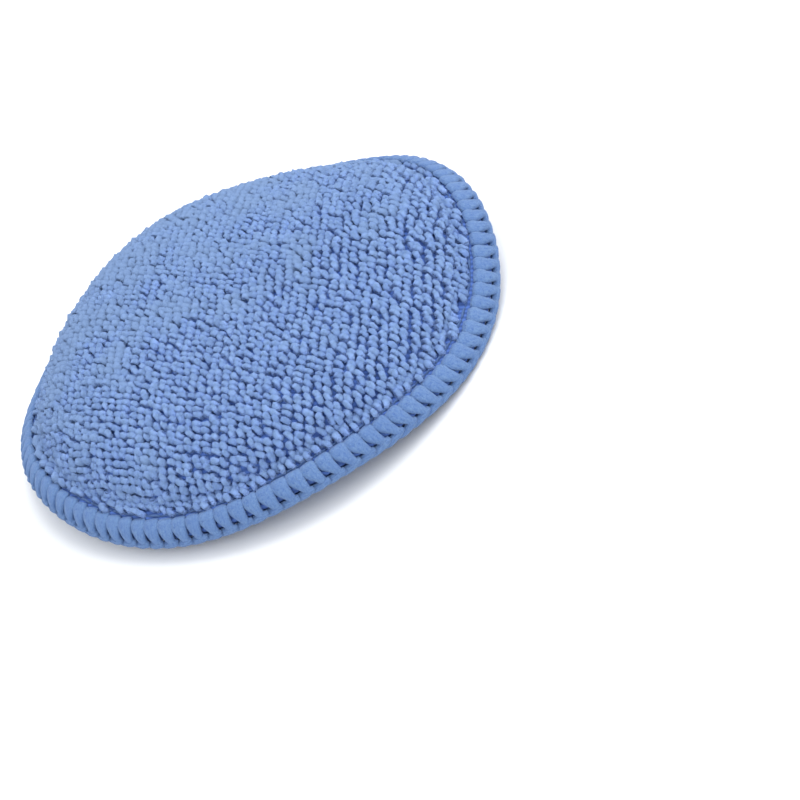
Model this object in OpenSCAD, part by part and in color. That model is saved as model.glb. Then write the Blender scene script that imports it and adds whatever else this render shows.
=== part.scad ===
// Round polishing pad: a foam disc between two microfibre terry cloths, overlocked round the edge.
// Millimetres, +Z up. The origin is the centre of the flat underside that the pad rests on.

/* [Pad] */
// Diameter over the stitched edge
pad_d = 127; // [80:1:180]
// Thickness at the middle, over both piles
pad_h = 20.5; // [16:0.5:40]
// Height of the joined cloths' meeting plane above the underside
seam_z = 7.5; // [6:0.1:9]
// Fullness of the crown: a higher power gives a flatter top and a squarer shoulder
crown_power = 4; // [2:0.5:10]

/* [Cloth] */
// Thickness of the knitted ground of each terry cloth
ground_t = 0.8; // [0.4:0.05:1.2]
// Height of the looped pile on each cloth
pile_h = 2.4; // [1:0.1:3]
// Width of the rounded corner between the flat underside and the seam
under_corner = 8; // [4:0.5:15]

/* [Stitched edge] */
// Distance from the needle line to the outside of the edge
edge_w = 6; // [5:0.1:9]
// How far the joined cloths slope down from the needle line to the edge
edge_drop = 2.6; // [0:0.1:2.7]
// Distance from one overlock stitch to the next, along the needle line
stitch_pitch = 3.6; // [3:0.1:6]
// Diameter of the bulky looper threads
looper_d = 1.5; // [1:0.05:1.5]
// Diameter of the needle thread
needle_d = 0.9; // [0.5:0.05:1]
// Diameter of the needle thread where it is pulled tight through the cloths
needle_leg_d = 0.6; // [0.3:0.05:0.8]
// Gap between the end of one needle stitch and the start of the next
stitch_gap = 0.3; // [0.1:0.05:0.5]
// Slant of each looper bar away from straight across the edge, degrees
looper_slant = 12; // [0:1:20]
// Share of the pitch that each needle loop covers under the edge
loop_share = 0.4; // [0.2:0.05:0.6]

/* [Clearances] */
// Gap between the needle thread and the pile or the looper bars beside it
thread_gap = 0.1; // [0.05:0.05:0.3]
// Gap round the needle thread in its hole
needle_gap = 0.02; // [0.01:0.01:0.05]

/* [Hidden] */
$fn = 96;
thread_fn = 24;
crown_steps = 24;
corner_steps = 12;

// Needle line, and the radii of the layers inside it
seam_r = pad_d / 2 - edge_w;
pile_r = seam_r - needle_d / 2 - thread_gap;
ground_r = pile_r - pile_h;
foam_r = ground_r - ground_t;
flat_r = foam_r - under_corner;

// Faces of the joined cloths at the needle line, and the heights of the layers above and below
joint_top = seam_z + ground_t;
joint_bottom = seam_z - ground_t;
ground_top = pad_h - pile_h;
foam_top = ground_top - ground_t;
ground_bottom = pile_h;
foam_bottom = ground_bottom + ground_t;

// The sloping hem: where it starts, where the cloths are cut off, and its angle.
// A bar's inner end clears the needle thread, so on the inner side of the slope the bar is shorter
bar_start_r = seam_r + needle_d / 2 + thread_gap + looper_d / 2;
hem_start_r = seam_r + needle_d / 2 + thread_gap;
wrap_r = ground_t + looper_d / 2;
cut_r = pad_d / 2 - wrap_r - looper_d / 2;
cut_z = seam_z - edge_drop;
hem_angle = atan2(edge_drop, cut_r - hem_start_r);
miter = ground_t * tan(hem_angle / 2);

// Stitches: as many whole ones as fit round the needle line
stitch_count = round(2 * PI * seam_r / stitch_pitch);
stitch_step = 360 / stitch_count;
run_lead = degrees_along_seam(needle_d);

function degrees_along_seam(length) = 180 * length / (PI * seam_r);
function bar_run(side) = (cut_r + side * wrap_r * sin(hem_angle) - bar_start_r) / cos(hem_angle);

cloth_colour = [0.36, 0.47, 0.70];
pile_colour = [0.51, 0.61, 0.80];
thread_colour = [0.55, 0.65, 0.82];
foam_colour = [0.93, 0.91, 0.84];

// Crown from the middle (0, top) out to (r, base)
function crown(r, base, top) = [
    for (i = [0 : crown_steps])
        let (t = 90 * i / crown_steps)
        [r * pow(sin(t), 2 / crown_power), base + (top - base) * cos(t)]
];

// Flat underside and rounded corner, from the middle (0, bottom) out to (r, base)
function bowl(r, base, bottom) = concat(
    [[0, bottom]],
    [for (i = [0 : corner_steps])
        let (t = 90 * i / corner_steps)
        [flat_r + (r - flat_r) * sin(t), base + (bottom - base) * cos(t)]]
);

function backwards(points) = [for (i = [len(points) - 1 : -1 : 0]) points[i]];

// A layer between two curves that both run from the middle outwards
module layer(outer, inner) {
    rotate_extrude()
        polygon(concat(outer, backwards(inner)));
}

// The holes that the needle makes through both cloths
module needle_holes() {
    for (i = [0 : stitch_count - 1])
        rotate(i * stitch_step)
            translate([seam_r, 0, joint_bottom - needle_d])
                cylinder(d = needle_leg_d + 2 * needle_gap, h = 2 * (ground_t + needle_d), $fn = thread_fn);
}

// Half of the hem's section, on the upper side (side = 1) or the lower side (side = -1)
function hem(side) = [
    [hem_start_r + side * miter, seam_z + side * ground_t],
    [cut_r + side * ground_t * sin(hem_angle), cut_z + side * ground_t * cos(hem_angle)],
    [cut_r, cut_z],
    [hem_start_r, seam_z]
];

// One looper bar: it lies on the hem and turns round the cut edge to the middle of the edge.
// Here the cut edge is at the origin, outwards is +X, and side is the face it lies on.
module looper_bar(side) {
    rotate([0, 0, side * looper_slant]) {
        translate([-bar_run(side), 0, side * wrap_r])
            rotate([0, 90, 0])
                cylinder(d = looper_d, h = bar_run(side), $fn = thread_fn);
        translate([-bar_run(side), 0, side * wrap_r])
            sphere(d = looper_d, $fn = thread_fn);
        rotate([90, 0, 0])
            rotate([0, 0, side > 0 ? 0 : -90])
                rotate_extrude(angle = 90)
                    translate([wrap_r, 0])
                        circle(d = looper_d, $fn = thread_fn);
    }
}

module looper_thread(side) {
    for (i = [0 : stitch_count - 1])
        rotate((i + 0.5) * stitch_step)
            translate([cut_r, 0, cut_z])
                rotate([0, hem_angle, 0])
                    looper_bar(side);
}

// Polyurethane foam disc, rounded where the cloths draw it in
module foam_core() {
    color(foam_colour)
        rotate_extrude()
            polygon(concat(
                crown(foam_r, seam_z, foam_top),
                backwards(bowl(foam_r, seam_z, foam_bottom))
            ));
}

// Knitted ground of the upper terry cloth, with its sloping hem
module upper_ground_cloth() {
    color(cloth_colour)
        difference() {
            layer(
                concat(crown(ground_r, joint_top, ground_top), hem(1)),
                crown(foam_r, seam_z, foam_top)
            );
            needle_holes();
        }
}

// Looped pile of the upper cloth, the face that polishes
module upper_pile() {
    color(pile_colour)
        layer(
            crown(pile_r, joint_top, pad_h),
            crown(ground_r, joint_top, ground_top)
        );
}

// Knitted ground of the lower terry cloth, with its sloping hem
module lower_ground_cloth() {
    color(cloth_colour)
        difference() {
            layer(
                concat(bowl(ground_r, joint_bottom, ground_bottom), hem(-1)),
                bowl(foam_r, seam_z, foam_bottom)
            );
            needle_holes();
        }
}

// Looped pile of the lower cloth, which the pad rests on
module lower_pile() {
    color(pile_colour)
        layer(
            bowl(pile_r, joint_bottom, 0),
            bowl(ground_r, joint_bottom, ground_bottom)
        );
}

// A length of needle thread along the seam, starting at +X, with its middle at height z
module needle_run(angle, z) {
    rotate_extrude(angle = angle)
        translate([seam_r, z])
            circle(d = needle_d, $fn = thread_fn);
}

// One needle stitch: it runs along the top, and its leg goes down to a short loop underneath
module needle_stitch() {
    run_z = joint_top + needle_d / 2;
    loop_z = joint_bottom - needle_d / 2;
    rotate(-run_lead)
        needle_run(stitch_step - degrees_along_seam(stitch_gap), run_z);
    translate([seam_r, 0, loop_z])
        cylinder(d = needle_leg_d, h = run_z - loop_z, $fn = thread_fn);
    rotate(-loop_share * stitch_step / 2)
        needle_run(loop_share * stitch_step, loop_z);
}

// Needle thread: a line of stitches round the pad, one through each pair of holes
module needle_thread() {
    color(thread_colour)
        for (i = [0 : stitch_count - 1])
            rotate(i * stitch_step)
                needle_stitch();
}

// Upper looper thread: the bars across the top of the edge
module upper_looper_thread() {
    color(thread_colour)
        looper_thread(1);
}

// Lower looper thread: the bars across the underside of the edge
module lower_looper_thread() {
    color(thread_colour)
        looper_thread(-1);
}

foam_core();
upper_ground_cloth();
upper_pile();
lower_ground_cloth();
lower_pile();
needle_thread();
upper_looper_thread();
lower_looper_thread();
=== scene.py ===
import math

import bpy
import numpy as np
from mathutils import Matrix, Vector, noise


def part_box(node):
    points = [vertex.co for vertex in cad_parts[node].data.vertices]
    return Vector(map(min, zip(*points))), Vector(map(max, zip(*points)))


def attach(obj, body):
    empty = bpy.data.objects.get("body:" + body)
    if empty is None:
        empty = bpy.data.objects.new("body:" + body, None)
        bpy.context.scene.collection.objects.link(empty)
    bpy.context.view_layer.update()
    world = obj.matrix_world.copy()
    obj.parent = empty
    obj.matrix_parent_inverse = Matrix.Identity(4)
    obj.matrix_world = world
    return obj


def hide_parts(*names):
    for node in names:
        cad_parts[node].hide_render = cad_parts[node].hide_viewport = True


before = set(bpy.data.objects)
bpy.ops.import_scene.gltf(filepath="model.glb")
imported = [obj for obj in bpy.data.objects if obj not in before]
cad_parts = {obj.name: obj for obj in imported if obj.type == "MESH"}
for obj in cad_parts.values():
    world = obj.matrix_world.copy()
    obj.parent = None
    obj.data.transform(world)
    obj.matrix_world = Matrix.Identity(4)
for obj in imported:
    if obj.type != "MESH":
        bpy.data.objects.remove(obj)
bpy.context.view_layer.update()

bl_info = {
    "name": "Terry Polishing Pad",
    "version": (1, 0, 0),
    "blender": (4, 5, 0),
    "location": "View3D > Sidebar > Polishing Pad",
    "description": "Sews a round terry polishing pad with a foam core and an overlocked edge",
    "category": "Add Mesh",
}

MM = 0.001
BODY = "root"

# Gap between the needle thread and the sloping hem
THREAD_GAP = 0.1 * MM
# How far the outermost loops reach past the foot of the crown
FRINGE = 3.2 * MM
# How far a loop stands off its even place, how far a column sways, and how deep a loop is rooted
LOOP_WANDER = 0.38 * MM
COLUMN_SWAY = 3.0 * MM
LOOP_ROOT = 0.4 * MM
# How far a looper bar turns round the cut edge, in three steps
BAR_TURNS = (30, 60, 85)
# Makes the needle thread as dark as a thread that is sunk between the bars and the loops
NEEDLE_SHADE = 3.0


# ---------------------------------------------------------------- sizes and colours


class PadSizes(bpy.types.PropertyGroup):
    """Sizes of the pad's cloth, loops and stitches"""

    crown_power: bpy.props.FloatProperty(
        name="Crown Power",
        description="Fullness of the crown: higher is flatter on top with a squarer shoulder",
        default=4.0,
        min=2.0,
        max=10.0,
    )
    under_corner: bpy.props.FloatProperty(
        name="Under Corner",
        description="Width of the rounded corner between the flat underside and the seam",
        default=8 * MM,
        unit="LENGTH",
    )
    ground_thickness: bpy.props.FloatProperty(
        name="Ground Thickness",
        description="Thickness of the knitted ground of each terry cloth",
        default=0.8 * MM,
        unit="LENGTH",
    )
    edge_drop: bpy.props.FloatProperty(
        name="Edge Drop",
        description="How far the joined cloths slope down from the needle line to the edge",
        default=2.6 * MM,
        unit="LENGTH",
    )
    hem_allowance: bpy.props.FloatProperty(
        name="Hem Allowance",
        description="How far the cloths' fringe reaches past their cut edge, up to the edge link",
        default=0.45 * MM,
        unit="LENGTH",
    )
    stitch_count: bpy.props.IntProperty(
        name="Stitches",
        description="Number of overlock stitches round the edge",
        default=100,
        min=3,
    )
    looper_thickness: bpy.props.FloatProperty(
        name="Looper Thread",
        description="Thickness of the bulky looper threads",
        default=1.5 * MM,
        unit="LENGTH",
    )
    lift: bpy.props.FloatProperty(
        name="Edge Lift",
        description="How far the whole edge of the soft pad rises",
        default=0.8 * MM,
        unit="LENGTH",
    )
    wave_heights: bpy.props.FloatVectorProperty(
        name="Wave Heights",
        description="Heights of the edge's soft waves, with 2, 3 and 4 waves to a turn",
        default=(0.8 * MM, 1.2 * MM, 2.1 * MM),
        size=3,
        unit="LENGTH",
    )
    wave_turns: bpy.props.FloatVectorProperty(
        name="Wave Turns",
        description="Where each set of waves starts, as an angle within one wave",
        default=(math.radians(26), math.radians(11), math.radians(12)),
        size=3,
        unit="ROTATION",
    )
    swell_turn: bpy.props.FloatProperty(
        name="Swell Turn",
        description="Direction in which the crown's shoulder swells and the edge hangs lower",
        default=math.radians(134),
        unit="ROTATION",
    )
    swell_spread: bpy.props.FloatProperty(
        name="Swell Spread",
        description="How far the swollen part of the shoulder reaches to each side",
        default=math.radians(26),
        unit="ROTATION",
    )
    swell_height: bpy.props.FloatProperty(
        name="Swell Height",
        description="How far the shoulder rises at the swell",
        default=2.8 * MM,
        unit="LENGTH",
    )
    swell_dip: bpy.props.FloatProperty(
        name="Swell Dip",
        description="How far the edge hangs lower at the swell",
        default=1.5 * MM,
        unit="LENGTH",
    )
    dome: bpy.props.FloatProperty(
        name="Dome",
        description="How far the foam holds the middle of the crown up",
        default=1.5 * MM,
        unit="LENGTH",
    )
    lumps: bpy.props.FloatProperty(
        name="Lumps",
        description="Height of the soft unevenness of the crown",
        default=0.45 * MM,
        unit="LENGTH",
    )
    column_pitch: bpy.props.FloatProperty(
        name="Column Pitch",
        description="Distance from one column of loops to the next",
        default=2.25 * MM,
        unit="LENGTH",
    )
    loop_spacing: bpy.props.FloatProperty(
        name="Loop Spacing",
        description="Distance from one loop to the next along a column",
        default=1.8 * MM,
        unit="LENGTH",
    )
    column_angle: bpy.props.FloatProperty(
        name="Column Angle",
        description="Direction of the columns of loops on the pad",
        default=math.radians(60),
        unit="ROTATION",
    )
    loop_height: bpy.props.FloatProperty(
        name="Loop Height",
        description="Height of a terry loop above the ground cloth",
        default=2.3 * MM,
        unit="LENGTH",
    )
    loop_width: bpy.props.FloatProperty(
        name="Loop Width",
        description="Width of a terry loop between the middles of its two legs",
        default=1.9 * MM,
        unit="LENGTH",
    )
    yarn: bpy.props.FloatProperty(
        name="Pile Yarn",
        description="Thickness of the pile yarn",
        default=1.55 * MM,
        unit="LENGTH",
    )


def colour_property(label, words, default):
    return bpy.props.FloatVectorProperty(
        name=label, description=words, default=default, size=3, subtype="COLOR", min=0.0, max=1.0
    )


class PadColours(bpy.types.PropertyGroup):
    """Colours of the pad and its stage"""

    pile_tip: colour_property("Loop Tips", "Colour of the tops of the loops", (0.155, 0.250, 0.438))
    # Painted light: paler and brighter than the loop tips, to lift the shade deep between the loops
    pile_root: colour_property("Loop Roots", "Colour deep between the loops", (0.275, 0.43, 0.85))
    brushed: colour_property(
        "Brushed Pile", "Colour of pile that is brushed smooth", (0.176, 0.273, 0.475)
    )
    # Painted shade: darker than the pile yarn, since the ground shows between the loops, in their
    # shade
    ground: colour_property("Ground Cloth", "Colour of the knitted ground", (0.085, 0.165, 0.46))
    thread: colour_property("Thread", "Colour of the overlock threads", (0.15, 0.255, 0.46))
    thread_shade: colour_property("Thread Shade", "Colour between the strands", (0.07, 0.145, 0.37))
    foam: colour_property("Foam", "Colour of the foam core", (0.80, 0.77, 0.62))
    floor: colour_property("Floor", "Colour of the floor", (0.90, 0.90, 0.90))


def sizes():
    return bpy.context.scene.pad_sizes


def colours():
    return bpy.context.scene.pad_colours


# ---------------------------------------------------------------- node helpers


class Value:
    """A number, colour or vector that comes out of a node, which can be used in sums"""

    def __init__(self, graph, socket):
        self.graph = graph
        self.socket = socket

    def maths(self, operation, *others):
        if self.socket.type == "VECTOR":
            kind = "ShaderNodeVectorMath"
            others = [
                (other,) * 3 if isinstance(other, (int, float)) else other for other in others
            ]
        else:
            kind = "ShaderNodeMath"
        return self.graph.node(kind, {"operation": operation}, *others)

    def __add__(self, other):
        return self.maths("ADD", self, other)

    def __radd__(self, other):
        return self.maths("ADD", other, self)

    def __sub__(self, other):
        return self.maths("SUBTRACT", self, other)

    def __rsub__(self, other):
        return self.maths("SUBTRACT", other, self)

    def __mul__(self, other):
        return self.maths("MULTIPLY", self, other)

    def __rmul__(self, other):
        return self.maths("MULTIPLY", other, self)

    def __truediv__(self, other):
        return self.maths("DIVIDE", self, other)


class Graph:
    """A node tree, with one way to add any node and join it up"""

    def __init__(self, tree):
        self.tree = tree

    def add(self, kind, settings=None, *values, **named):
        """Adds a node, sets it, and feeds its inputs by order or by name"""
        made = self.tree.nodes.new(kind)
        for setting, value in (settings or {}).items():
            setattr(made, setting, value)
        live = [socket for socket in made.inputs if socket.enabled]
        for socket, value in zip(live, values):
            self.feed(socket, value)
        for label, value in named.items():
            words = label.replace("_", " ").lower()
            self.feed(next(s for s in live if s.name.lower() == words), value)
        return made

    def node(self, kind, settings=None, *values, **named):
        """Adds a node and gives its first live output"""
        return self.out(self.add(kind, settings, *values, **named))

    def out(self, made, label=None):
        """One output of a node: the first live one, or the one with that name"""
        live = [socket for socket in made.outputs if socket.enabled]
        if label is not None:
            live = [socket for socket in live if socket.name == label]
        return Value(self, live[0])

    def feed(self, socket, value):
        if value is None:
            return
        if isinstance(value, Value):
            self.tree.links.new(value.socket, socket)
        elif socket.type == "RGBA" and len(value) == 3:
            socket.default_value = (*value, 1.0)
        else:
            socket.default_value = value

    def mix(self, factor, first, second, **how):
        return self.node("ShaderNodeMix", {"data_type": "RGBA", **how}, factor, first, second)

    def vector(self, x, y, z):
        return self.node("ShaderNodeCombineXYZ", None, x, y, z)

    def vector_maths(self, operation, *values, **named):
        return self.node("ShaderNodeVectorMath", {"operation": operation}, *values, **named)

    def store(self, geometry, name, value, kind="FLOAT", domain="POINT"):
        """The geometry with a value kept on its points, or on its instances"""
        settings = {"data_type": kind, "domain": domain}
        return self.node("GeometryNodeStoreNamedAttribute", settings, geometry, None, name, value)

    def stored(self, name):
        return self.node("GeometryNodeInputNamedAttribute", {"data_type": "FLOAT_VECTOR"}, name)

    def random(self, low, high, seed):
        kind = "FLOAT_VECTOR" if isinstance(low, tuple) else "FLOAT"
        return self.node("FunctionNodeRandomValue", {"data_type": kind}, low, high, seed=seed)

    def range(self, value, low, high, start=0.0, end=1.0):
        return self.node("ShaderNodeMapRange", None, value, low, high, start, end)


def new_tree(name, inputs, gives="Mesh"):
    """An empty geometry tree with named inputs: gives its graph and its inputs by name"""
    tree = bpy.data.node_groups.new(name, "GeometryNodeTree")
    tree.interface.new_socket("Geometry", in_out="INPUT", socket_type="NodeSocketGeometry")
    for label, kind, default in inputs:
        socket = tree.interface.new_socket(label, in_out="INPUT", socket_type=kind)
        if default is not None:
            socket.default_value = default
    tree.interface.new_socket(gives, in_out="OUTPUT", socket_type="NodeSocketGeometry")
    graph = Graph(tree)
    start = graph.add("NodeGroupInput")
    given = {socket.name: Value(graph, socket) for socket in start.outputs if socket.name}
    return graph, given


def close_tree(graph, instances, material, rumple, fineness):
    """The end of every tree: real geometry, rumpled a little, smooth, with its material"""
    whole = graph.node("GeometryNodeRealizeInstances", None, instances)
    swelling = graph.node("ShaderNodeTexNoise", None, scale=fineness, detail=2.0) - 0.5
    normal = graph.node("GeometryNodeInputNormal")
    push = graph.vector_maths("SCALE", normal, scale=swelling * rumple)
    whole = graph.node("GeometryNodeSetPosition", None, whole, offset=push)
    place = graph.add("ShaderNodeSeparateXYZ", None, graph.node("GeometryNodeInputPosition"))
    table = graph.node("ShaderNodeMath", {"operation": "MAXIMUM"}, graph.out(place, "Z"), 0.0)
    above = graph.vector(graph.out(place, "X"), graph.out(place, "Y"), table)
    whole = graph.node("GeometryNodeSetPosition", None, whole, None, above)
    smooth = graph.node("GeometryNodeSetShadeSmooth", None, whole)
    painted = graph.node("GeometryNodeSetMaterial", None, smooth, material=material)
    end = graph.tree.nodes.new("NodeGroupOutput")
    graph.feed(end.inputs[0], painted)


def grown_mesh(name, base, tree, **inputs):
    """The plain mesh that a tree grows from a base mesh, as a new object at the origin"""
    seedbed = bpy.data.objects.new(name + "_base", base)
    bpy.context.scene.collection.objects.link(seedbed)
    modifier = seedbed.modifiers.new("grow", "NODES")
    modifier.node_group = tree
    for item in tree.interface.items_tree:
        key = item.name.lower().replace(" ", "_")
        if item.item_type == "SOCKET" and item.in_out == "INPUT" and key in inputs:
            modifier[item.identifier] = inputs[key]
    seedbed.update_tag()
    depsgraph = bpy.context.evaluated_depsgraph_get()
    mesh = bpy.data.meshes.new_from_object(seedbed.evaluated_get(depsgraph), depsgraph=depsgraph)
    mesh.name = name
    seedbed.modifiers.remove(modifier)
    bpy.data.objects.remove(seedbed)
    if not mesh.polygons:
        raise RuntimeError(f"the tree {tree.name} grew nothing for {name}")
    return new_piece(name, mesh)


def new_piece(name, mesh):
    piece = bpy.data.objects.new(name, mesh)
    bpy.context.scene.collection.objects.link(piece)
    return piece


# ---------------------------------------------------------------- shape of the pad


class PadShape:
    """The pad's form, worked out from the frame: every piece takes its place from here"""

    def __init__(self):
        size = sizes()
        self.size = size
        pile_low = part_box("upper_pile")[0]
        ground_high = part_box("upper_ground_cloth")[1]
        foam_low, foam_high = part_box("foam_core")
        self.joint_top = pile_low.z
        self.joint_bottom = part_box("lower_pile")[1].z
        self.seam_z = (self.joint_top + self.joint_bottom) / 2
        self.ground_top = ground_high.z
        self.ground_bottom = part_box("lower_ground_cloth")[0].z
        self.foam_bottom, self.foam_top = foam_low.z, foam_high.z
        self.foam_radius = foam_high.x
        self.ground_radius = foam_high.x + size.ground_thickness
        self.flat_radius = foam_high.x - size.under_corner
        self.edge_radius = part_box("upper_looper_thread")[1].x
        self.hem_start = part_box("needle_thread")[1].x + THREAD_GAP
        self.wrap = size.ground_thickness + size.looper_thickness / 2
        self.cut_radius = self.edge_radius - self.wrap - size.looper_thickness / 2
        self.cut_z = self.seam_z - size.edge_drop

    def crown(self, radius, base, top, count):
        """Points (r, z) evenly along the crown, from the middle to its foot"""
        angle = np.linspace(0, math.pi / 2, 2000)
        r = radius * np.sin(angle) ** (2 / self.size.crown_power)
        z = base + (top - base) * np.cos(angle)
        return evenly(r, z, count)

    def bowl(self, radius, base, bottom, count):
        """Points (r, z) evenly along the flat underside and its corner, from the middle outwards"""
        angle = np.linspace(0, math.pi / 2, 400)
        r = np.concatenate([[0], self.flat_radius + (radius - self.flat_radius) * np.sin(angle)])
        z = np.concatenate([[bottom], base + (bottom - base) * np.cos(angle)])
        return evenly(r, z, count)

    def hem(self, side, count):
        """Points (r, z) along the outer face of one cloth's hem, from its foot to the cut edge"""
        slope = math.atan2(self.size.edge_drop, self.cut_radius - self.hem_start)
        thick = self.size.ground_thickness
        foot = self.joint_top if side > 0 else self.joint_bottom
        miter = side * thick * math.tan(slope / 2)
        reach = self.size.hem_allowance
        end_r = self.cut_radius + reach * math.cos(slope) + side * thick * math.sin(slope)
        end_z = self.cut_z - reach * math.sin(slope) + side * thick * math.cos(slope)
        r = [self.ground_radius, self.hem_start + miter, end_r]
        z = [foot, foot, end_z]
        return evenly(np.array(r), np.array(z), count)

    def settle(self, points):
        """Bends points of the even, round pad into the soft pad's slightly wavy form"""
        x, y, z = points.T
        r = np.hypot(x, y)
        turn = np.arctan2(y, x)
        size = self.size
        wave = size.lift + sum(
            height * np.cos(count * turn - start)
            for count, height, start in zip((2, 3, 4), size.wave_heights, size.wave_turns)
        )
        above = (r / self.edge_radius) ** 2
        rim = np.clip((r - self.flat_radius) / (self.hem_start - self.flat_radius), 0, 1)
        below = np.where(r < self.hem_start, above * rim * rim * (3 - 2 * rim), above)
        share = z / self.seam_z
        weight = below + (above - below) * np.clip(share, 0, 1)
        off = (turn - size.swell_turn + math.pi) % (2 * math.pi) - math.pi
        swell = np.exp(-((off / size.swell_spread) ** 2))
        inner = np.clip((r - 12 * MM) / (30 * MM), 0, 1)
        rise = np.sqrt(np.clip((z - self.joint_top) / (self.ground_top - self.joint_top), 0, 1))
        lump = np.array([noise.noise(Vector(p) * 55.0) for p in points * [1, 1, 0]])
        flatness = np.clip(1 - (r / self.ground_radius) ** 6, 0, 1) * np.clip(share, 0, 1)
        middle = np.clip(1 - (r / self.ground_radius) ** 2, 0, 1)
        domed = size.dome * middle * np.clip(share - 1, 0, 1)
        moved = points.copy()
        moved[:, 2] += wave * weight + size.lumps * lump * flatness + domed
        moved[:, 2] += swell * (size.swell_height * inner * rise - size.swell_dip * weight)
        return moved


def evenly(r, z, count):
    """count + 1 points at even distances along the line through r, z"""
    run = np.concatenate([[0], np.cumsum(np.hypot(np.diff(r), np.diff(z)))])
    stops = np.linspace(0, run[-1], count + 1)
    return np.stack([np.interp(stops, run, r), np.interp(stops, run, z)], 1)


def turned(profile, spokes):
    """Points of a profile turned round Z, ring by ring, without the middle"""
    angle = np.arange(spokes) * 2 * math.pi / spokes
    r, z = profile[1:, 0], profile[1:, 1]
    ring = np.stack([np.outer(r, np.cos(angle)), np.outer(r, np.sin(angle))], -1)
    height = np.broadcast_to(z[:, None, None], (len(r), spokes, 1))
    return np.concatenate([ring, height], -1).reshape(-1, 3)


def disc_faces(rings, spokes, flip):
    """Faces of a disc: a fan at the middle, point 0, and quads out to the last ring"""
    faces = [(0, 1 + i, 1 + (i + 1) % spokes) for i in range(spokes)]
    for ring in range(rings - 1):
        inner, outer = 1 + ring * spokes, 1 + (ring + 1) * spokes
        for i in range(spokes):
            j = (i + 1) % spokes
            faces.append((inner + i, outer + i, outer + j, inner + j))
    return [face[::-1] for face in faces] if flip else faces


def cloth_mesh(name, shape, side, spokes=180):
    """One cloth of the pad: its outer face, with the flat cloth's own coordinates as its UV map"""
    if side > 0:
        face = shape.crown(shape.ground_radius, shape.joint_top, shape.ground_top, 44)
    else:
        face = shape.bowl(shape.ground_radius, shape.joint_bottom, shape.ground_bottom, 44)
    profile = np.concatenate([face, shape.hem(side, 6)[1:]])
    run = np.concatenate([[0], np.cumsum(np.hypot(*np.diff(profile, axis=0).T))])
    points = np.concatenate([[[0, 0, profile[0, 1]]], turned(profile, spokes)])
    mesh = bpy.data.meshes.new(name)
    faces = disc_faces(len(profile) - 1, spokes, side < 0)
    mesh.from_pydata(shape.settle(points).tolist(), [], faces)
    flat = np.repeat(run[1:] / run[-1], spokes)
    angle = np.tile(np.arange(spokes) * 2 * math.pi / spokes, len(profile) - 1)
    across = np.concatenate([[[0, 0]], np.stack([flat * np.cos(angle), flat * np.sin(angle)], 1)])
    corner = np.zeros(len(mesh.loops), np.int32)
    mesh.loops.foreach_get("vertex_index", corner)
    uv = mesh.uv_layers.new(name="cloth")
    uv.data.foreach_set("uv", (0.5 + across[corner] / 2).astype(np.float32).ravel())
    mesh.polygons.foreach_set("use_smooth", [True] * len(mesh.polygons))
    face_run = float(np.hypot(*np.diff(face, axis=0).T).sum())
    return mesh, float(run[-1]), face_run


# ---------------------------------------------------------------- materials


def new_material(name):
    material = bpy.data.materials.new(name)
    material.use_nodes = True
    material.node_tree.nodes.clear()
    return material, Graph(material.node_tree)


def finish_material(graph, colour, roughness, height=None, bump=0.3, depth=0.2 * MM,
                    facing=None, **even):
    """The shader and output that every material ends with; even holds what is the same all over"""
    shader = graph.add("ShaderNodeBsdfPrincipled")
    graph.feed(shader.inputs["Base Color"], colour)
    graph.feed(shader.inputs["Roughness"], roughness)
    for label, value in even.items():
        graph.feed(shader.inputs[label.replace("_", " ")], value)
    if height is not None:
        relief = graph.add("ShaderNodeBump", None, strength=bump, distance=depth, height=height)
        if facing is not None:
            graph.feed(relief.inputs["Normal"], facing)
        graph.feed(shader.inputs["Normal"], graph.out(relief))
    end = graph.tree.nodes.new("ShaderNodeOutputMaterial")
    graph.feed(end.inputs["Surface"], graph.out(shader))


def object_point(graph):
    return graph.out(graph.add("ShaderNodeTexCoord"), "Object")


def fluffy_facing(graph, name, share):
    """The way a fluffy thread seems to face: partly its own, partly that of the cloth under it"""
    own = graph.out(graph.add("ShaderNodeNewGeometry"), "Normal")
    nap = graph.out(graph.add("ShaderNodeAttribute", {"attribute_name": name}), "Vector")
    return graph.vector_maths("NORMALIZE", own * (1 - share) + nap * share)


def attribute(graph, name):
    return graph.out(graph.add("ShaderNodeAttribute", {"attribute_name": name}), "Fac")


def grain(graph, point, scale, detail=2.0, rough=0.55):
    return graph.node(
        "ShaderNodeTexNoise", None, vector=point, scale=scale, detail=detail, roughness=rough
    )


def pile_material():
    """Looped fluffy microfibre. Painted light: the colour is a brighter blue at the loops' roots
    and sides than on their tops, to lift the shade between the loops
    """
    colour = colours()
    material, graph = new_material("terry_pile")
    point = object_point(graph)
    tip = attribute(graph, "tip")
    tone = attribute(graph, "tone")
    brushed = attribute(graph, "brushed")
    fuzz = grain(graph, point, 1700, 3.0, 0.75)
    height = graph.range(tip, 0.35, 0.95)
    lit = height * (0.6 + 0.6 * fuzz)
    # Painted light: the colour runs from a brighter blue low on the loops to a darker blue at their
    # tops, lifting the shade between the loops
    base = graph.mix(lit, colour.pile_root, colour.pile_tip)
    dye = graph.node("ShaderNodeCombineColor", None,
                     0.86 + 0.22 * tone, 0.88 + 0.18 * tone, 0.93 + 0.10 * tone)
    shaded = graph.mix(1.0, base, dye, blend_type="MULTIPLY")
    fluffy = graph.mix(brushed * 0.85, shaded, colour.brushed)
    finish_material(graph, fluffy, 0.85 + 0.12 * fuzz, height=fuzz, bump=0.8, depth=0.6 * MM,
                    facing=fluffy_facing(graph, "nap", 0.75),
                    Sheen_Weight=0.12, Sheen_Roughness=0.5, Sheen_Tint=(0.6, 0.74, 1.0),
                    Specular_IOR_Level=0.2)
    return material


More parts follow.
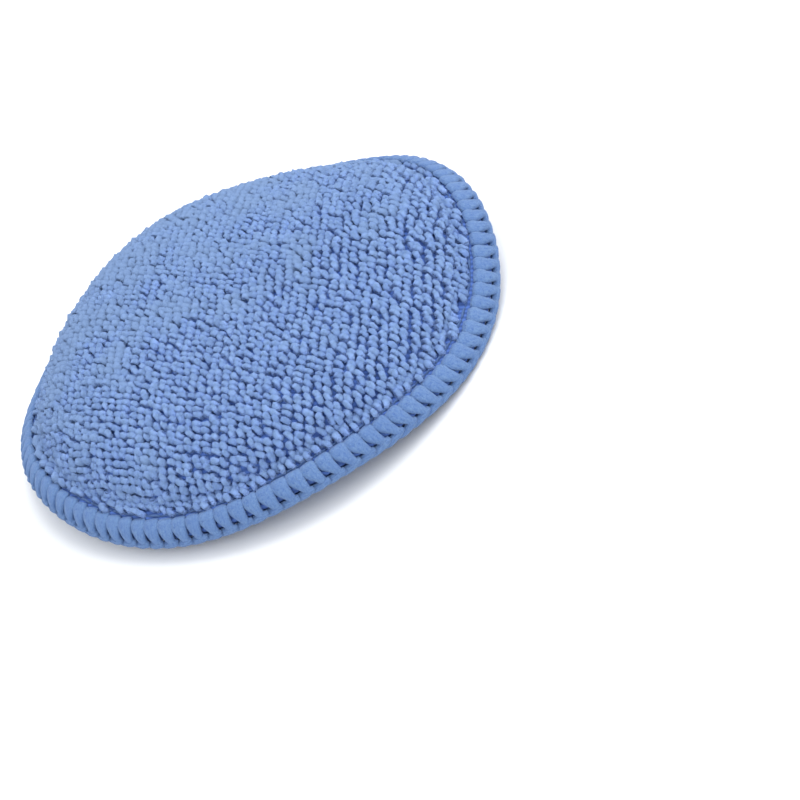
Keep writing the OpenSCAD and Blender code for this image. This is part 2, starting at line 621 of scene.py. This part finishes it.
def ground_material():
    """Knitted ground of the terry cloth: fine ribs of V-shaped stitches"""
    colour = colours()
    material, graph = new_material("ground_cloth")
    flat = graph.node("ShaderNodeUVMap", {"uv_map": "cloth"})
    turned_flat = graph.node("ShaderNodeVectorRotate", None, vector=flat, center=(0.5, 0.5, 0.0),
                             angle=math.pi / 2 - sizes().column_angle)
    ribs = graph.node("ShaderNodeTexWave", {"bands_direction": "Y"}, vector=turned_flat,
                      scale=30.0, distortion=1.5, detail=1.0, detail_scale=2.0)
    fibre = grain(graph, object_point(graph), 3000, 3.0, 0.7)
    relief = ribs * 0.7 + fibre * 0.3
    # Painted shade: the ground's colour is darker than the pile yarn for the shade between the
    # loops, and darker still in the grooves of the ribs
    dark = tuple(0.6 * c for c in colour.ground)
    pale = tuple(1.25 * c for c in colour.ground)
    base = graph.mix(relief, dark, pale)
    finish_material(graph, base, 0.9 + 0.08 * fibre, height=relief, bump=0.5, depth=0.2 * MM,
                    Specular_IOR_Level=0.15)
    return material


def thread_material():
    """Bulky crimped sewing thread, with strands that run along it"""
    colour = colours()
    material, graph = new_material("overlock_thread")
    along = graph.node("ShaderNodeUVMap", {"uv_map": "thread"})
    stretched = graph.vector_maths("MULTIPLY", along, (0.5, 6.0, 1.0))
    crimp = grain(graph, object_point(graph), 700, 2.0)
    strands = grain(graph, stretched + crimp * 0.8, 3.0, 3.0, 0.65)
    fuzz = grain(graph, object_point(graph), 2800, 3.0, 0.7)
    tone = attribute(graph, "tone")
    relief = strands * 0.7 + fuzz * 0.3
    lit = graph.range(relief, 0.3, 0.62) * (0.85 + 0.2 * tone)
    base = graph.mix(lit, colour.thread_shade, colour.thread)
    finish_material(graph, base, 0.8 + 0.15 * fuzz, height=relief, bump=0.9, depth=0.7 * MM,
                    Sheen_Weight=0.15, Sheen_Roughness=0.5, Sheen_Tint=(0.7, 0.8, 1.0),
                    Specular_IOR_Level=0.25)
    return material


def foam_material():
    """Open-cell polyurethane foam"""
    colour = colours()
    material, graph = new_material("foam")
    point = object_point(graph)
    cells = graph.node("ShaderNodeTexVoronoi", {"feature": "DISTANCE_TO_EDGE"},
                       vector=point, scale=900.0)
    wall = graph.range(cells, 0.0, 0.25)
    speckle = grain(graph, point, 300)
    # Painted shade: the hollows of the cells, away from their thin walls, are darker
    base = graph.mix(wall, tuple(colour.foam), tuple(0.72 * c for c in colour.foam))
    finish_material(graph, graph.mix(speckle * 0.2, base, (0.9, 0.86, 0.7)), 0.9 + 0.05 * wall,
                    height=1 - wall, bump=0.8, depth=0.4 * MM, Specular_IOR_Level=0.2)
    return material


def floor_material():
    """Plain pale floor with a very faint, even grain"""
    material, graph = new_material("studio_floor")
    mottle = grain(graph, object_point(graph), 8.0)
    pale = tuple(colours().floor)
    finish_material(graph, graph.mix(mottle * 0.3, pale, tuple(0.985 * c for c in pale)), 0.9)
    return material


# ---------------------------------------------------------------- geometry trees


FLOAT, WHOLE = "NodeSocketFloat", "NodeSocketInt"


def terry_tree():
    """Grows columns of terry loops on a cloth, laid out on the cloth's own flat coordinates"""
    size = sizes()
    graph, given = new_tree(
        "terry_pile",
        [
            ("Column Pitch", FLOAT, size.column_pitch),
            ("Loop Spacing", FLOAT, size.loop_spacing),
            ("Column Angle", FLOAT, size.column_angle),
            ("Loop Height", FLOAT, size.loop_height),
            ("Loop Width", FLOAT, size.loop_width),
            ("Yarn", FLOAT, size.yarn),
            ("Rumple", FLOAT, 0.9 * MM),
            ("Cloth Radius", FLOAT, 67 * MM),
            ("Pile Radius", FLOAT, 60 * MM),
            ("Seed", WHOLE, 1),
            ("Material", "NodeSocketMaterial", None),
        ],
        gives="Loops",
    )
    cloth, pitch, spacing = given["Geometry"], given["Column Pitch"], given["Loop Spacing"]
    reach, seed = given["Pile Radius"], given["Seed"]
    lie = given["Column Angle"] - math.pi / 2

    def steps(distance):
        span = 2 * reach / distance
        return span.maths("CEIL", span) + 3

    columns, rows = steps(pitch), steps(spacing)
    grid = graph.node("GeometryNodeMeshGrid", None,
                      (columns - 1) * pitch, (rows - 1) * spacing, columns, rows)
    place = graph.add("ShaderNodeSeparateXYZ", None, graph.node("GeometryNodeInputPosition"))
    x, y = graph.out(place, "X"), graph.out(place, "Y")
    column = graph.node("ShaderNodeMath", {"operation": "ROUND"}, x / pitch)
    odd = graph.node("ShaderNodeMath", {"operation": "PINGPONG"}, column, 1.0)
    wander = graph.random((-LOOP_WANDER,) * 3, (LOOP_WANDER,) * 3, seed)
    straight = graph.vector(x, y + odd * spacing * 0.5, 0.0)
    sway = graph.node("ShaderNodeTexNoise", None, vector=straight, scale=45.0, detail=1.0)
    drift = graph.vector((sway - 0.5) * COLUMN_SWAY, 0.0, 0.0)
    flat = graph.node("ShaderNodeVectorRotate", {"rotation_type": "Z_AXIS"},
                      vector=straight + wander + drift, angle=lie)
    flat = flat * (1.0, 1.0, 0.0)
    laid = graph.store(grid, "flat", flat, "FLOAT_VECTOR")
    flat = graph.stored("flat")
    far = graph.vector_maths("LENGTH", flat)
    outside = graph.node("ShaderNodeMath", {"operation": "GREATER_THAN"}, far, reach)
    round_bed = graph.node("GeometryNodeDeleteGeometry", {"domain": "POINT"}, laid, outside)

    chart = graph.stored("cloth")
    wide = graph.vector(*(given["Cloth Radius"] * 2,) * 3)

    def sampled(value, where):
        return graph.node("GeometryNodeSampleUVSurface", {"data_type": "FLOAT_VECTOR"},
                          cloth, value, chart, where / wide + 0.5)

    position = graph.node("GeometryNodeInputPosition")
    here = sampled(position, flat)
    upright = sampled(graph.node("GeometryNodeInputNormal"), flat)
    ahead_by = graph.node("ShaderNodeVectorRotate", {"rotation_type": "Z_AXIS"},
                          vector=(0.0, 1.0 * MM, 0.0), angle=lie)
    ahead = sampled(position, flat - ahead_by) - here

    # Patches where the pile is brushed flatter, and patches where the loops stand open
    brush = graph.node("ShaderNodeTexNoise", None, vector=flat, scale=75.0, detail=2.0)
    stroke = graph.vector_maths("DOT_PRODUCT", flat, (-0.2, 0.98, 0.0))
    brushed = graph.range(brush + stroke / (reach * 4), 0.46, 0.68)
    marked = graph.store(round_bed, "brushed", brushed)
    marked = graph.store(marked, "nap", upright, "FLOAT_VECTOR")
    bed = graph.node("GeometryNodeSetPosition", None, marked, None, here)
    lean = graph.random((-0.3, -0.3, 0.4), (0.3, 0.3, 1.15), seed + 1)
    combed = graph.vector(0.12, brushed * 0.55, 0.0)
    turn = turned_to(graph, upright, ahead, lean + combed)

    arch = loop_arch(graph, given)
    stretch = graph.random((0.88, 0.88, 0.85), (1.15, 1.15, 1.08), seed + 2)
    spread = graph.vector(1 + brushed * 0.4, 1 + brushed * 0.4, 1 - brushed * 0.15)
    loops = graph.node("GeometryNodeInstanceOnPoints", None, bed, instance=arch, rotation=turn,
                       scale=stretch * spread)
    tone = graph.random(0.0, 1.0, seed + 3)
    toned = graph.store(loops, "tone", tone, domain="INSTANCE")
    close_tree(graph, toned, given["Material"], given["Rumple"], 900.0)
    return graph.tree


def turned_to(graph, up, ahead, extra):
    """The turn that points Z up and X ahead, with an extra turn after it"""
    facing = graph.node("FunctionNodeAxesToRotation",
                        {"primary_axis": "Z", "secondary_axis": "X"}, up, ahead)
    return graph.node("FunctionNodeRotateRotation", {"rotation_space": "LOCAL"}, facing,
                      graph.node("FunctionNodeEulerToRotation", None, extra))


def loop_arch(graph, given):
    """One terry loop: a fat yarn that rises out of the cloth, turns over and goes back in"""
    half, height = given["Loop Width"] * 0.5, given["Loop Height"]
    crest = (height - given["Yarn"] * 0.5) * 1.36

    def point(x, z):
        return graph.vector(x, 0.0, z)

    line = graph.node("GeometryNodeCurvePrimitiveBezierSegment", None, 12,
                      point(half * -0.5, -LOOP_ROOT), point(half * -1.8, crest),
                      point(half * 1.8, crest), point(half * 0.5, -LOOP_ROOT))
    line = graph.node("GeometryNodeResampleCurve", None, line, count=7)
    ring = graph.node("GeometryNodeCurvePrimitiveCircle", None, 5, given["Yarn"] * 0.5)
    loop = graph.node("GeometryNodeCurveToMesh", None, line, ring)
    place = graph.add("ShaderNodeSeparateXYZ", None, graph.node("GeometryNodeInputPosition"))
    # The height on the loop, kept as tip, steers the painted light in the pile's colour
    return graph.store(loop, "tip", graph.out(place, "Z") / height)


def stitch_tree():
    """Sets one stitch on each point, turned to the point's own up and out directions"""
    graph, given = new_tree(
        "overlock_stitches",
        [
            ("Stitch", "NodeSocketObject", None),
            ("Turn Variation", FLOAT, 0.06),
            ("Size Variation", FLOAT, 0.06),
            ("Shade", FLOAT, 0.0),
            ("Rumple", FLOAT, 0.3 * MM),
            ("Seed", WHOLE, 1),
            ("Material", "NodeSocketMaterial", None),
        ],
        gives="Stitches",
    )
    unit = graph.out(graph.add("GeometryNodeObjectInfo", None, given["Stitch"]), "Geometry")
    spread, swell, seed = given["Turn Variation"], given["Size Variation"], given["Seed"]
    sway = graph.random(0 - spread, spread, seed)
    turn = turned_to(graph, graph.stored("up"), graph.stored("out"), graph.vector(0.0, 0.0, sway))
    length = graph.random(1 - swell, 1 + swell, seed + 1)
    rows = graph.node("GeometryNodeInstanceOnPoints", None, given["Geometry"], instance=unit,
                      rotation=turn, scale=graph.vector(1.0, length, 1.0))
    tone = graph.random(0.0, 1.0, seed + 2) - given["Shade"]
    toned = graph.store(rows, "tone", tone, domain="INSTANCE")
    close_tree(graph, toned, given["Material"], given["Rumple"], 600.0)
    return graph.tree


# ---------------------------------------------------------------- threads


def thread_unit(name, strands):
    """One stitch as a mesh. A strand is (points, widths, heights, sides): an oval tube"""
    points, faces, chart = [], [], []
    for line, widths, heights, sides in strands:
        line = np.array(line, float)
        start = len(points)
        ahead = np.gradient(line, axis=0)
        ahead /= np.linalg.norm(ahead, axis=1)[:, None]
        across = np.cross(side_guide(ahead), ahead)
        across /= np.linalg.norm(across, axis=1)[:, None]
        lift = np.cross(ahead, across)
        run = np.concatenate([[0], np.cumsum(np.linalg.norm(np.diff(line, axis=0), axis=1))])
        rings = len(line)
        for i in range(rings):
            for j in range(sides):
                angle = 2 * math.pi * j / sides
                c, s = math.cos(angle), math.sin(angle)
                blunt = (abs(c) ** 2.6 + abs(s) ** 2.6) ** (-1 / 2.6)
                wide = across[i] * c * blunt * widths[i] / 2
                high = lift[i] * s * blunt * heights[i] / 2
                points.append(tuple(line[i] + (wide + high)))
        for i in range(rings - 1):
            for j in range(sides):
                a, b = start + i * sides + j, start + i * sides + (j + 1) % sides
                faces.append((a, b, b + sides, a + sides))
                u0, u1 = run[i] / MM, run[i + 1] / MM
                v0, v1 = j / sides, (j + 1) / sides
                chart.append([(u0, v0), (u0, v1), (u1, v1), (u1, v0)])
        for ring, order in ((0, -1), (rings - 1, 1)):
            cap = [start + ring * sides + j for j in range(sides)][::order]
            faces.append(tuple(cap))
            chart.append([(run[ring] / MM, j / sides) for j in range(sides)][::order])
    mesh = bpy.data.meshes.new(name)
    mesh.from_pydata(points, [], faces)
    uv = mesh.uv_layers.new(name="thread")
    uv.data.foreach_set("uv", np.array([c for face in chart for c in face], np.float32).ravel())
    mesh.polygons.foreach_set("use_smooth", [True] * len(mesh.polygons))
    return new_piece(name, mesh)


def side_guide(ahead):
    """For each direction of a strand, the direction that its flat side faces"""
    guide = np.tile([0.0, 0.0, 1.0], (len(ahead), 1))
    along_edge = np.abs(ahead[:, 1]) > 0.7
    turned_guide = np.stack([-ahead[:, 2], np.zeros(len(ahead)), ahead[:, 0]], 1)
    return np.where(along_edge[:, None], guide, turned_guide)


def stitch_points(name, shape, radius, height, lean):
    """A mesh of one point per stitch, each with its own up and out directions"""
    count = shape.size.stitch_count
    angle = (np.arange(count) + 0.5) * 2 * math.pi / count

    def ring(turn, r, z):
        flat = np.stack([r * np.cos(turn), r * np.sin(turn), np.full(count, z)], 1)
        return shape.settle(flat)

    small = 0.2 * MM
    middle = ring(angle, radius, height)
    along = ring(angle + small / radius, radius, height) - middle
    outwards = ring(angle, radius + small * math.cos(lean), height - small * math.sin(lean))
    outwards = outwards - middle
    up = np.cross(outwards, along)
    mesh = bpy.data.meshes.new(name)
    mesh.from_pydata(middle.tolist(), [], [])
    for label, vectors in (("up", up), ("out", outwards)):
        vectors = vectors / np.linalg.norm(vectors, axis=1)[:, None]
        layer = mesh.attributes.new(label, "FLOAT_VECTOR", "POINT")
        layer.data.foreach_set("vector", vectors.astype(np.float32).ravel())
    return mesh


def sew(name, shape, tree, unit, seed, radius, height, lean, material, shade=0.0):
    """A ring of stitches, as one plain mesh"""
    points = stitch_points(name + "_points", shape, radius, height, lean)
    piece = grown_mesh(name, points, tree, stitch=unit, seed=seed, shade=shade, material=material)
    bpy.data.objects.remove(unit)
    return piece


# ---------------------------------------------------------------- operators


class PAD_OT_foam(bpy.types.Operator):
    """Cut the foam disc"""

    bl_idname = "pad.foam"
    bl_label = "Cut Foam"

    def execute(self, context):
        shape = PadShape()
        spokes = 96
        upper = shape.crown(shape.foam_radius, shape.seam_z, shape.foam_top, 24)
        lower = shape.bowl(shape.foam_radius, shape.seam_z, shape.foam_bottom, 24)
        profile = np.concatenate([upper, lower[-2:0:-1]])
        rings = len(profile) - 1
        top, bottom = [[0, 0, upper[0, 1]]], [[0, 0, lower[0, 1]]]
        points = np.concatenate([top, turned(profile, spokes), bottom])
        faces = disc_faces(rings, spokes, False)
        last, first = len(points) - 1, 1 + (rings - 1) * spokes
        faces += [(last, first + (i + 1) % spokes, first + i) for i in range(spokes)]
        mesh = bpy.data.meshes.new("foam_disc")
        mesh.from_pydata(shape.settle(points).tolist(), [], faces)
        mesh.polygons.foreach_set("use_smooth", [True] * len(mesh.polygons))
        mesh.materials.append(foam_material())
        piece = new_piece("foam_disc", mesh)
        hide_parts("foam_core")
        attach(piece, BODY)
        return {"FINISHED"}


class PAD_OT_cover(bpy.types.Operator):
    """Make the two terry cloths, each with its pile of loops"""

    bl_idname = "pad.cover"
    bl_label = "Make Covers"

    def execute(self, context):
        shape, size = PadShape(), sizes()
        tree, loops, ground = terry_tree(), pile_material(), ground_material()
        for side, place, seed in ((1, "upper", 11), (-1, "lower", 47)):
            mesh, cloth_radius, face_run = cloth_mesh(place + "_cloth", shape, side)
            pile = grown_mesh(
                place + "_loops", mesh.copy(), tree, column_pitch=size.column_pitch,
                loop_spacing=size.loop_spacing, column_angle=size.column_angle,
                loop_height=size.loop_height, loop_width=size.loop_width, yarn=size.yarn,
                cloth_radius=cloth_radius, pile_radius=face_run + FRINGE, seed=seed, material=loops,
            )
            cloth = new_piece(place + "_cloth", mesh)
            mesh.materials.append(ground)
            thick = cloth.modifiers.new("thickness", "SOLIDIFY")
            thick.thickness = size.ground_thickness - 0.05 * MM
            thick.offset = -1.0
            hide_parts(place + "_ground_cloth")
            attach(cloth, BODY)
            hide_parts(place + "_pile")
            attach(pile, BODY)
        return {"FINISHED"}


class PAD_OT_edge(bpy.types.Operator):
    """Overlock the edge with a needle thread and two looper threads"""

    bl_idname = "pad.edge"
    bl_label = "Sew Edge"

    def execute(self, context):
        shape, size = PadShape(), sizes()
        tree, thread = stitch_tree(), thread_material()
        slope = math.atan2(size.edge_drop, shape.cut_radius - shape.hem_start)
        run = (shape.cut_radius - shape.hem_start) / math.cos(slope)
        wrap = shape.wrap
        for side, place, seed in ((1, "upper", 5), (-1, "lower", 8)):
            inner = run if side > 0 else run - 1.4 * wrap * math.sin(slope)
            strands = [self.bar(side, inner, wrap)]
            if side < 0:
                strands.append(self.edge_link(shape, wrap))
            unit = thread_unit(place + "_stitch", strands)
            piece = sew(place + "_looper", shape, tree, unit, seed,
                        shape.cut_radius, shape.cut_z, slope, thread)
            self.place(piece, place + "_looper_thread")
        needle = thread_unit("needle_stitch", [self.needle_run(shape)])
        piece = sew("needle_stitches", shape, tree, needle, 3, shape.hem_start - 0.3 * MM,
                    shape.joint_top + 0.12 * MM, 0.0, thread, shade=NEEDLE_SHADE)
        self.place(piece, "needle_thread")
        return {"FINISHED"}

    @staticmethod
    def place(piece, node):
        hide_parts(node)
        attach(piece, BODY)

    @staticmethod
    def bar(side, run, wrap):
        """A looper bar: it lies across the hem, leans over and turns round the cut edge"""
        steps = np.linspace(0, 1, 6)
        x = list(-run + 0.1 * MM + steps * (run - 0.1 * MM))
        z = [wrap - 0.6 * MM, wrap - 0.1 * MM] + [wrap] * 4
        for angle in np.radians(BAR_TURNS):
            x.append(wrap * math.sin(angle))
            z.append(wrap * math.cos(angle))
        x, z = np.array(x), np.array(z)
        y = side * (0.18 * (x + run / 2) + 0.3 * np.maximum(x + 0.35 * run, 0))
        line = np.stack([x, y, side * z], 1)
        widths = np.array([3.5, 4.3, 4.4, 4.1, 3.4, 2.7, 2.2, 2.2, 2.3]) * MM
        heights = np.array([0.9, 1.3, 1.5, 1.55, 1.6, 1.6, 1.5, 1.5, 1.4]) * MM
        return line, widths, heights, 10

    @staticmethod
    def edge_link(shape, wrap):
        """The link of looper thread that runs along the cut edge to the next stitch"""
        pitch = 2 * math.pi * shape.edge_radius / shape.size.stitch_count
        t = np.linspace(-1, 1, 8)
        y = t * 0.75 * pitch
        x = wrap - 0.15 * MM + 0.30 * MM * np.cos(t * math.pi / 2)
        z = 0.15 * MM + 0.6 * MM * np.sin(t * math.pi / 2)
        size = (1.95 - 0.55 * np.abs(t) ** 3) * MM
        return np.stack([x, y, z], 1), size, size, 8

    @staticmethod
    def needle_run(shape):
        """One needle stitch along the foot of the bars"""
        pitch = 2 * math.pi * shape.hem_start / shape.size.stitch_count
        t = np.linspace(-1, 1, 7)
        y = t * 0.5 * pitch
        z = -0.4 * MM * t**4
        size = (0.55 - 0.15 * np.abs(t) ** 3) * MM
        return np.stack([np.zeros(7), y, z], 1), size, size, 6


class PAD_OT_stage(bpy.types.Operator):
    """Set up the camera, the lights and the floor"""

    bl_idname = "pad.stage"
    bl_label = "Set Stage"

    def execute(self, context):
        eye = self.camera(context)
        self.floor()
        self.lights(eye)
        return {"FINISHED"}

    @staticmethod
    def camera(context):
        """Looks down at the pad with the camera rolled, so that the pad leans across the frame"""
        lens = bpy.data.cameras.new("camera")
        lens.sensor_width = 36.0
        lens.lens = 112.5
        lens.clip_start = 0.01
        camera = bpy.data.objects.new("camera", lens)
        bpy.context.scene.collection.objects.link(camera)
        target = Vector((19.5, -57.1, 10.0)) * MM
        place = Vector((-3.2, -493.9, 351.4)) * MM
        roll = math.radians(-31.49)
        look = (target - place).to_track_quat("-Z", "Y").to_matrix().to_4x4()
        camera.matrix_world = Matrix.Translation(place) @ look @ Matrix.Rotation(roll, 4, "Z")
        context.scene.camera = camera
        context.scene.view_settings.view_transform = "Standard"
        return camera

    @staticmethod
    def floor():
        span = 4.0
        mesh = bpy.data.meshes.new("floor")
        corners = [(-span, -span, 0), (span, -span, 0), (span, span, 0), (-span, span, 0)]
        mesh.from_pydata(corners, [], [(0, 1, 2, 3)])
        mesh.materials.append(floor_material())
        new_piece("floor", mesh)

    @staticmethod
    def lights(camera):
        """Soft panels, placed by the camera's own right, up and back directions"""
        axes = camera.matrix_world.to_3x3()
        middle = Vector((0, 0, 10 * MM))
        for name, where, width, power in (
            ("key", (-0.05, 1.0, 0.3), 1.0, 7.0),
            ("fill", (0.9, 0.1, 0.9), 1.0, 2.8),
            ("front", (-0.6, -0.1, 1.1), 1.0, 2.0),
        ):
            lamp = bpy.data.lights.new(name, "AREA")
            lamp.shape = "DISK"
            lamp.size = width
            lamp.energy = power
            light = bpy.data.objects.new(name, lamp)
            bpy.context.scene.collection.objects.link(light)
            place = middle + axes @ Vector(where)
            look = (middle - place).to_track_quat("-Z", "Y").to_matrix().to_4x4()
            light.matrix_world = Matrix.Translation(place) @ look
        world = bpy.data.worlds.new("studio")
        bpy.context.scene.world = world
        world.use_nodes = True
        world.node_tree.nodes["Background"].inputs["Color"].default_value = (0.93, 0.96, 1.0, 1.0)
        world.node_tree.nodes["Background"].inputs["Strength"].default_value = 1.15


class PAD_PT_panel(bpy.types.Panel):
    """Polishing pad tools"""

    bl_idname = "PAD_PT_panel"
    bl_label = "Polishing Pad"
    bl_space_type = "VIEW_3D"
    bl_region_type = "UI"
    bl_category = "Polishing Pad"

    def draw(self, context):
        layout = self.layout
        for group in (context.scene.pad_sizes, context.scene.pad_colours):
            box = layout.box()
            for name in group.__annotations__:
                box.prop(group, name)
        for operator in OPERATORS:
            layout.operator(operator.bl_idname)


OPERATORS = (PAD_OT_stage, PAD_OT_foam, PAD_OT_cover, PAD_OT_edge)
CLASSES = (PadSizes, PadColours, *OPERATORS, PAD_PT_panel)


def register():
    for item in CLASSES:
        bpy.utils.register_class(item)
    bpy.types.Scene.pad_sizes = bpy.props.PointerProperty(type=PadSizes)
    bpy.types.Scene.pad_colours = bpy.props.PointerProperty(type=PadColours)


def unregister():
    del bpy.types.Scene.pad_colours
    del bpy.types.Scene.pad_sizes
    for item in reversed(CLASSES):
        bpy.utils.unregister_class(item)


def main():
    register()
    bpy.ops.pad.stage()
    bpy.ops.pad.foam()
    bpy.ops.pad.cover()
    bpy.ops.pad.edge()


if __name__ == "__main__":
    main()
